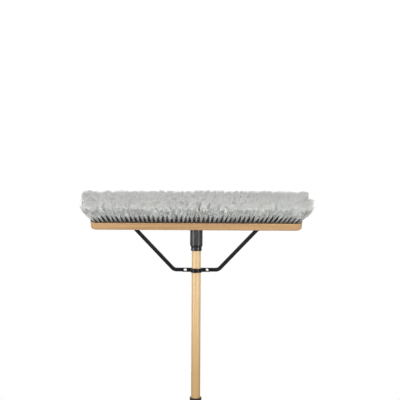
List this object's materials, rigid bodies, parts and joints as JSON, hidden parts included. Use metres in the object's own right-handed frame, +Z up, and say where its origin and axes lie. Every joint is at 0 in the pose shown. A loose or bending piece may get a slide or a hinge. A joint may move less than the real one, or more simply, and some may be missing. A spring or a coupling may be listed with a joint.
{
  "type": "push broom",
  "caption": "Wide wooden push broom with flagged grey fibre, a screw socket, a clamped steel brace and a sectional wooden handle with a hanging hole.",
  "frame": {"origin": "middle of the hanging hole in the end cap, from which the broom hangs head down", "axes": "+Z up along the handle, away from the head; X along the block; -Y out of the hanging hole, towards the side that the fibre faces"},
  "size_m": [0.678, 0.1148, 1.6566],
  "materials": {
    "block_wood": "satin",
    "handle_wood": "satin",
    "grey_fibre": "matte",
    "black_plastic": "satin",
    "black_paint": "gloss",
    "bright_steel": "gloss"
  },
  "bodies": {
    "upper_handle": {"hang_cap": "black_plastic", "cap_tack": "bright_steel", "upper_handle_rod": "handle_wood", "upper_threaded_tip": "black_plastic", "upper_tip_pin": "bright_steel"},
    "middle_handle": {"upper_coupling": "black_plastic", "upper_coupling_pin": "bright_steel", "middle_handle_rod": "handle_wood", "middle_threaded_tip": "black_plastic", "middle_tip_pin": "bright_steel"},
    "lower_handle": {"lower_coupling": "black_plastic", "lower_coupling_pin": "bright_steel", "lower_handle_rod": "handle_wood", "lower_threaded_tip": "black_plastic", "lower_tip_pin": "bright_steel"},
    "head": {"block": "block_wood", "bristle_row_1": "grey_fibre", "bristle_row_2": "grey_fibre", "bristle_row_3": "grey_fibre", "bristle_row_4": "grey_fibre", "bristle_row_5": "grey_fibre", "tuft_staples": "bright_steel", "handle_socket": "black_plastic", "socket_screws": "bright_steel", "brace_bar": "black_paint", "brace_foot_screws": "bright_steel", "clamp_washers": "bright_steel", "clamp_nuts": "bright_steel"},
    "clamp": {"handle_strap": "black_paint", "clamp_bolts": "bright_steel"}
  },
  "joints": [
    {"name": "upper_thread", "type": "hinge", "parent": "upper_handle", "child": "middle_handle", "pos_m": [0, 0, -0.4645], "axis": [0, 0, -1], "range_deg": [0, 1620]},
    {"name": "middle_thread", "type": "hinge", "parent": "middle_handle", "child": "lower_handle", "pos_m": [0, 0, -0.9725], "axis": [0, 0, -1], "range_deg": [0, 1620]},
    {"name": "socket_thread", "type": "hinge", "parent": "lower_handle", "child": "head", "pos_m": [0, 0, -1.478], "axis": [0, 0, -1], "range_deg": [0, 1620]},
    {"name": "clamp_release", "type": "slide", "parent": "head", "child": "clamp", "axis": [0, -1, 0], "range_m": [0, 0.004]}
  ]
}
